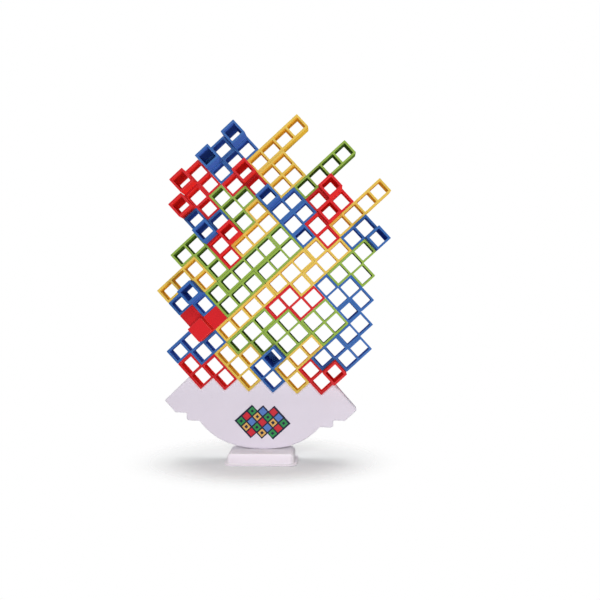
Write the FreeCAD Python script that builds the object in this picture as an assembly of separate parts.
import FreeCAD, Part
import math
import os

# Stacking balance game: hollow plastic blocks stacked on edge in a rocker board on a small stand.
# The frame has X to the right, Y away from the viewer and Z up, in millimetres.
# The origin is the centre of the stand's underside.

# Blocks: square cells, open from front to back, on one square grid that stands on its corner
cell_pitch = 18.0
seam = 0.15
block_wall = 2.2
partition_wall = 2.2
block_corner_bevel = 0.5
bore_corner_bevel = 0.4
bore_floor = 2.0
floor_slot = 7.2

# Rocker board: a row of right-angled notches, stepped wings and a rounded bottom
notch_count = 6
board_thickness = 18.0
board_height = 60.0
wing_run = 25.4
wing_drop = 26.4
wing_undercut = 12.2
wing_shelf = 12.0
step_drop = 7.8
step_shelf = 14.0
rocker_radius = 110.0
rocker_half_angle = 16.5
wing_tip_round = 1.5
undercut_round = 1.2
shelf_round = 0.8
step_round = 3.3
tooth_round = 1.3
board_rim_bevel = 1.2

# Stand: a low block with softly rounded ends on a thin flange
stand_width = 69.0
stand_depth = 37.0
stand_height = 12.0
stand_corner = 5.0
stand_end_round = 5.0
stand_rim_round = 1.2
flange_reach = 3.0
flange_thickness = 2.0
flange_corner = 7.0

# Pose of the board: it is rocked to the right, touches the stand a little off its centre and has
# its back in line with the back of the stand
board_tilt = 2.7
contact_offset = 1.3
board_setback = (stand_depth - board_thickness) / 2
seat_gap = 0.05

# Place of the top corner of cell (0, 0) over the notches, counted in half diagonals of a cell
half_diagonal_count_right = 1
half_diagonal_count_up = 26

# One line a block: its colour, its form and its cells as (column, row). Columns run to the
# lower right and rows to the lower left. A third number is the layer: 1 stands one cell in
# front of the stack and -1 one cell behind it.
STACK = [
    ("red", "zigzag", [(8, 15), (9, 15), (9, 14), (10, 14)]),
    ("blue", "zigzag", [(7, 15), (7, 14), (8, 14), (8, 13)]),
    ("yellow", "tee", [(9, 13), (10, 13), (11, 13), (10, 12)]),
    ("blue", "twist", [(12, 12), (11, 12), (11, 11), (11, 11, 1)]),
    ("yellow", "ell", [(12, 9), (12, 10), (12, 11), (13, 11)]),
    ("red", "twist", [(13, 10), (14, 10), (14, 9), (14, 9, 1)]),
    ("blue", "zigzag", [(14, 7), (14, 8), (13, 8), (13, 9)]),
    ("blue", "twist", [(13, 7), (13, 6), (12, 6), (12, 6, -1)]),
    ("blue", "zigzag", [(10, 6), (11, 6), (11, 5), (12, 5)]),
    ("green", "square", [(10, 9), (11, 9), (10, 10), (11, 10)]),
    ("green", "square", [(11, 7), (12, 7), (11, 8), (12, 8)]),
    ("red", "zigzag", [(10, 7), (10, 8), (9, 8), (9, 9)]),
    ("green", "tee", [(9, 10), (9, 11), (9, 12), (10, 11)]),
    ("yellow", "bar", [(8, 9), (8, 10), (8, 11), (8, 12)]),
    ("yellow", "tee", [(8, 6), (8, 7), (8, 8), (9, 7)]),
    ("yellow", "tee", [(9, 4), (9, 5), (9, 6), (8, 5)]),
    ("green", "tee", [(10, 3), (10, 4), (10, 5), (11, 4)]),
    ("blue", "twist", [(9, 3), (9, 2), (10, 2), (10, 2, 1)]),
    ("yellow", "bar", [(8, 0), (8, 1), (8, 2), (8, 3)]),
    ("red", "twist", [(8, 4), (7, 4), (7, 3), (7, 3, 1)]),
    ("red", "tripod", [(6, 3), (6, 2), (7, 2), (6, 2, 1)]),
    ("green", "bar", [(5, 0), (5, 1), (5, 2), (5, 3)]),
    ("yellow", "bar", [(2, 1), (2, 2), (2, 3), (2, 4)]),
    ("yellow", "square", [(3, 3), (4, 3), (3, 4), (4, 4)]),
    ("blue", "twist", [(5, 4), (5, 5), (4, 5), (4, 5, 1)]),
    ("blue", "twist", [(6, 4), (6, 5), (7, 5), (7, 5, -1)]),
    ("blue", "twist", [(1, 5), (1, 4), (0, 4), (0, 4, 1)]),
    ("blue", "tripod", [(0, 5), (0, 6), (1, 6), (0, 6, 1)]),
    ("red", "tripod", [(3, 5), (2, 5), (2, 6), (2, 5, 1)]),
    ("green", "tee", [(2, 7), (3, 7), (4, 7), (3, 6)]),
    ("yellow", "ell", [(4, 6), (5, 6), (5, 7), (5, 8)]),
    ("red", "twist", [(1, 7), (0, 7), (0, 8), (0, 8, 1)]),
    ("red", "twist", [(2, 8), (1, 8), (1, 9), (1, 9, 1)]),
    ("blue", "tripod", [(2, 9), (3, 9), (3, 8), (3, 9, 1)]),
    ("red", "twist", [(5, 9), (4, 9), (4, 8), (4, 8, 1)]),
    ("green", "ell", [(3, 11), (3, 10), (4, 10), (5, 10)]),
    ("green", "ell", [(6, 6), (7, 6), (7, 7), (7, 8)]),
    ("green", "bar", [(6, 7), (6, 8), (6, 9), (6, 10)]),
    ("green", "ell", [(7, 9), (7, 10), (7, 11), (6, 11)]),
    ("yellow", "ell", [(4, 13), (4, 12), (4, 11), (5, 11)]),
    ("blue", "tripod", [(6, 12), (5, 12), (5, 13), (5, 12, 1)]),
    ("red", "tripod", [(7, 12), (7, 13), (6, 13), (7, 13, 1)]),
]

# The last red tripod lies on its side: its cells open to the left and right, and its front is closed
SIDEWAYS_CELL = (7, 13, 1)

# Raised cells whose bore ends in a floor at the back, and the width of the slot left in that floor
# along the cell's upper right side
FLOORED_CELLS = {(0, 6, 1): 0, (11, 11, 1): floor_slot}

cell_half_diagonal = cell_pitch / math.sqrt(2)
block_size = cell_pitch - seam
outer_inset = seam / 2 + block_wall
shared_inset = partition_wall / 2

STEPS = {"left": (-1, 0, 0), "right": (1, 0, 0), "up": (0, -1, 0), "down": (0, 1, 0),
         "front": (0, 0, 1), "back": (0, 0, -1)}


def rounded_outline(corners):
    """A closed wire in the XZ plane through (x, z, radius) corners, each rounded by its radius."""
    count = len(corners)
    starts = []
    ends = []
    arcs = []
    for index, (x, z, radius) in enumerate(corners):
        here = FreeCAD.Vector(x, 0, z)
        before = FreeCAD.Vector(corners[index - 1][0], 0, corners[index - 1][1])
        after = FreeCAD.Vector(corners[(index + 1) % count][0], 0, corners[(index + 1) % count][1])
        to_before = (before - here).normalize()
        to_after = (after - here).normalize()
        if radius == 0:
            starts.append(here)
            ends.append(here)
            arcs.append(None)
            continue
        half_angle = to_before.getAngle(to_after) / 2
        setback = radius / math.tan(half_angle)
        bisector = (to_before + to_after).normalize()
        middle = here + bisector * (radius / math.sin(half_angle) - radius)
        first = here + to_before * setback
        last = here + to_after * setback
        starts.append(first)
        ends.append(last)
        arcs.append(Part.Arc(first, middle, last).toShape())
    edges = []
    for index in range(count):
        if arcs[index]:
            edges.append(arcs[index])
        edges.append(Part.LineSegment(ends[index], starts[(index + 1) % count]).toShape())
    return Part.Wire(edges)


def prism(wire, front, back):
    """A solid between two Y places, from a closed wire drawn at Y = 0."""
    face = Part.Face(wire)
    face.translate(FreeCAD.Vector(0, front, 0))
    return face.extrude(FreeCAD.Vector(0, back - front, 0))


def trace_cells(cells):
    """The grid corners around a group of joined (column, row) cells, in order, ends of runs only."""
    edges = {}
    for column, row in cells:
        if (column, row - 1) not in cells:
            edges[(column, row)] = (column + 1, row)
        if (column + 1, row) not in cells:
            edges[(column + 1, row)] = (column + 1, row + 1)
        if (column, row + 1) not in cells:
            edges[(column + 1, row + 1)] = (column, row + 1)
        if (column - 1, row) not in cells:
            edges[(column, row + 1)] = (column, row)
    start = min(edges)
    loop = [start]
    while edges[loop[-1]] != start:
        loop.append(edges[loop[-1]])
    corners = []
    for index, corner in enumerate(loop):
        before = loop[index - 1]
        after = loop[(index + 1) % len(loop)]
        if direction(before, corner) != direction(corner, after):
            corners.append(corner)
    return corners


def direction(start, end):
    """The unit step along the grid from one corner to the next."""
    return tuple((b > a) - (b < a) for a, b in zip(start, end))


def layer_outline(cells):
    """The outline of one layer of a block, drawn in by half a seam, with its outer corners bevelled."""
    corners = trace_cells(cells)
    points = []
    for index, corner in enumerate(corners):
        arriving = direction(corners[index - 1], corner)
        leaving = direction(corner, corners[(index + 1) % len(corners)])
        # The loop runs clockwise on the grid, so the inside lies to the right of each run
        column = corner[0] * cell_pitch - (arriving[1] + leaving[1]) * seam / 2
        row = corner[1] * cell_pitch + (arriving[0] + leaving[0]) * seam / 2
        if arriving[0] * leaving[1] - arriving[1] * leaving[0] > 0:
            for run, reach in ((arriving, -block_corner_bevel), (leaving, block_corner_bevel)):
                points.append(FreeCAD.Vector(column + run[0] * reach, 0, -(row + run[1] * reach)))
        else:
            points.append(FreeCAD.Vector(column, 0, -row))
    return Part.makePolygon(points + points[:1])


def bore_runs(cubes, along):
    """Groups of cubes that share one straight bore, following the named step from cube to cube."""
    step = STEPS[along]
    runs = []
    for cube in cubes:
        before = tuple(c - s for c, s in zip(cube, step))
        if before in cubes:
            continue
        run = [cube]
        while tuple(c + s for c, s in zip(run[-1], step)) in cubes:
            run.append(tuple(c + s for c, s in zip(run[-1], step)))
        runs.append(run)
    return runs


def bore(run, cubes, along):
    """The straight square hole along a run of cubes, past its open ends, its corners bevelled."""
    opening_sides = {"front": ("front", "back"), "right": ("left", "right")}[along]
    low = [min(cube[axis] for cube in run) for axis in range(3)]
    high = [max(cube[axis] for cube in run) for axis in range(3)]
    limits = {
        "left": low[0] * cell_pitch, "right": (high[0] + 1) * cell_pitch,
        "up": -low[1] * cell_pitch, "down": -(high[1] + 1) * cell_pitch,
        "back": (0.5 - low[2]) * cell_pitch, "front": -(0.5 + high[2]) * cell_pitch,
    }
    inward = {"left": 1, "right": -1, "up": -1, "down": 1, "back": -1, "front": 1}
    for side, step in STEPS.items():
        if side in opening_sides:
            limits[side] -= inward[side] * seam
            continue
        shared = all(tuple(c + s for c, s in zip(cube, step)) in cubes for cube in run)
        limits[side] += inward[side] * (shared_inset if shared else outer_inset)
    run_axis = {"front": FreeCAD.Vector(0, 1, 0), "right": FreeCAD.Vector(1, 0, 0)}[along]
    floored = [cube for cube in run if cube in FLOORED_CELLS]
    if not floored:
        return bevelled_box(limits, run_axis, bore_corner_bevel)
    slot_width = FLOORED_CELLS[floored[0]]
    back_face = (0.5 - low[2]) * cell_pitch - seam / 2
    pocket = dict(limits, back=back_face - bore_floor)
    hole = bevelled_box(pocket, run_axis, bore_corner_bevel)
    if slot_width == 0:
        return hole
    slot = dict(limits, front=pocket["back"] - bore_floor, down=limits["up"] - slot_width)
    return hole.fuse(bevelled_box(slot, run_axis, bore_corner_bevel))


def bevelled_box(limits, axis, bevel):
    """A box between six named limits, with its four edges along an axis bevelled."""
    box = Part.makeBox(
        limits["right"] - limits["left"], limits["back"] - limits["front"], limits["up"] - limits["down"],
        FreeCAD.Vector(limits["left"], limits["front"], limits["down"]))
    return box.makeChamfer(
        bevel, [edge for edge in box.Edges if abs(edge.tangentAt(edge.FirstParameter).dot(axis)) > 0.5])


def make_block(cells):
    """A block in the grid's own frame: columns along X, rows along -Z, open along its bores."""
    cubes = [cell if len(cell) == 3 else cell + (0,) for cell in cells]
    body = None
    for layer in sorted({cube[2] for cube in cubes}):
        outline = layer_outline([cube[:2] for cube in cubes if cube[2] == layer])
        middle = -layer * cell_pitch
        front = middle - block_size / 2
        back = middle + block_size / 2
        # A raised or hidden cube reaches across the seam to the layer that carries it
        if layer > 0:
            back += seam
        if layer < 0:
            front -= seam
        slab = prism(outline, front, back)
        body = body.fuse(slab) if body else slab
    along = "right" if SIDEWAYS_CELL in cubes else "front"
    bores = [bore(run, cubes, along) for run in bore_runs(cubes, along)]
    return body.cut(bores).removeSplitter()


def board_corners():
    """The rocker board's corners from its left rocker end over the notches to the right one."""
    half = cell_half_diagonal
    shoulder = notch_count * half
    tip_x = shoulder + wing_run
    tip_z = half - wing_drop
    shelf_x = tip_x - wing_undercut
    shelf_z = tip_z - wing_undercut
    step_x = shelf_x - wing_shelf
    step_z = shelf_z - step_drop
    right = [
        (shoulder, half, tooth_round),
        (tip_x, tip_z, wing_tip_round),
        (shelf_x, shelf_z, undercut_round),
        (step_x, shelf_z, shelf_round),
        (step_x, step_z, step_round),
        (step_x - step_shelf, step_z, 0),
    ]
    left = [(-x, z, radius) for x, z, radius in reversed(right)]
    teeth = []
    for notch in range(notch_count):
        notch_x = (2 * notch - notch_count + 1) * half
        teeth.append((notch_x, 0, 0))
        if notch < notch_count - 1:
            teeth.append((notch_x + half, half, tooth_round))
    return left + teeth + right


def rocker_points(end_x, end_z):
    """The joint of the rocker's middle and end arcs, and the end arc's middle, on the right side."""
    angle = math.radians(rocker_half_angle)
    centre_z = rocker_radius - board_height
    joint = FreeCAD.Vector(rocker_radius * math.sin(angle), 0, centre_z - rocker_radius * math.cos(angle))
    inward = FreeCAD.Vector(-math.sin(angle), 0, math.cos(angle))
    end = FreeCAD.Vector(end_x, 0, end_z)
    chord = end - joint
    end_radius = chord.dot(chord) / (2 * chord.dot(inward))
    end_centre = joint + inward * end_radius
    half_way = ((joint + end) * 0.5 - end_centre).normalize() * end_radius
    return joint, end_centre + half_way, end


def mirrored(point):
    return FreeCAD.Vector(-point.x, point.y, point.z)


def make_board():
    """The board in its own frame: X = 0 on its centre line and Z = 0 at the notch bottoms."""
    corners = board_corners()
    end_x, end_z, unused = corners[-1]
    joint, half_way, end = rocker_points(end_x, end_z)
    bottom = FreeCAD.Vector(0, 0, -board_height)
    closed = rounded_outline(corners)
    edges = [edge for edge in closed.Edges if not is_closing_edge(edge, end)]
    edges.append(Part.Arc(end, half_way, joint).toShape())
    edges.append(Part.Arc(joint, bottom, mirrored(joint)).toShape())
    edges.append(Part.Arc(mirrored(joint), mirrored(half_way), mirrored(end)).toShape())
    outline = Part.Wire(Part.sortEdges(edges)[0])
    slab = prism(outline, -board_thickness / 2, board_thickness / 2)
    rims = [edge for edge in slab.Edges if abs(edge.BoundBox.YLength) < 1e-6]
    return slab.makeChamfer(board_rim_bevel, rims)


def is_closing_edge(edge, end):
    """True for the straight edge that would join the two ends of the rocker."""
    points = [vertex.Point for vertex in edge.Vertexes]
    touches_right = any((point - end).Length < 1e-6 for point in points)
    touches_left = any((point - mirrored(end)).Length < 1e-6 for point in points)
    return touches_right and touches_left


def rounded_plate(width, depth, height, corner):
    """A level plate on the ground, centred on the Z axis, with rounded upright corners."""
    plate = Part.makeBox(width, depth, height, FreeCAD.Vector(-width / 2, -depth / 2, 0))
    upright = [edge for edge in plate.Edges if abs(edge.tangentAt(edge.FirstParameter).z) > 0.5]
    return plate.makeFillet(corner, upright)


def arched_prism(width, corner, length):
    """A prism along Y with a flat underside on the ground and its upper two corners rounded."""
    side = width / 2
    profile = rounded_outline([
        (-side, 0, 0), (-side, stand_height, corner), (side, stand_height, corner), (side, 0, 0)])
    return prism(profile, -length / 2, length / 2)


def make_stand():
    """The stand: its flange and a block with broadly rounded ends and softened front and back rims."""
    flange = rounded_plate(stand_width + 2 * flange_reach, stand_depth + 2 * flange_reach,
                           flange_thickness, flange_corner)
    block = rounded_plate(stand_width, stand_depth, stand_height, stand_corner)
    ends = arched_prism(stand_width, stand_end_round, stand_depth)
    rims = arched_prism(stand_depth, stand_rim_round, stand_width)
    rims.rotate(FreeCAD.Vector(0, 0, 0), FreeCAD.Vector(0, 0, 1), 90)
    return flange.fuse(block.common(ends).common(rims)).removeSplitter()


def board_placement():
    """The board's frame in the part's frame: tilted about the rocker's centre, above the stand."""
    centre = FreeCAD.Vector(0, 0, rocker_radius - board_height)
    seat = FreeCAD.Vector(contact_offset, board_setback, stand_height + seat_gap + rocker_radius)
    turn = FreeCAD.Rotation(FreeCAD.Vector(0, 1, 0), board_tilt)
    return FreeCAD.Placement(seat - turn.multVec(centre), turn)


def grid_placement():
    """The grid's frame in the part's frame: stood on its corner in the board's notches."""
    corner = FreeCAD.Vector(half_diagonal_count_right, 0, half_diagonal_count_up) * cell_half_diagonal
    turn = FreeCAD.Rotation(FreeCAD.Vector(0, 1, 0), 45)
    return board_placement().multiply(FreeCAD.Placement(corner, turn))


def save(name, shape):
    """One STEP file a sub-part, named as its node."""
    if not shape.isValid() or len(shape.Solids) != 1:
        raise RuntimeError(name + " isn't one valid solid")
    shape.Solids[0].exportStep("parts/" + name + ".step")
    print(name, round(shape.Volume), "cubic mm")


def main():
    os.makedirs("parts", exist_ok=True)
    save("stand", make_stand())
    board = make_board()
    board.Placement = board_placement()
    save("rocker_board", board)
    numbers = {}
    for colour, form, cells in STACK:
        kind = colour + "_" + form
        numbers[kind] = numbers.get(kind, 0) + 1
        block = make_block(cells)
        block.Placement = grid_placement()
        save(kind + "_block_" + str(numbers[kind]), block)


main()
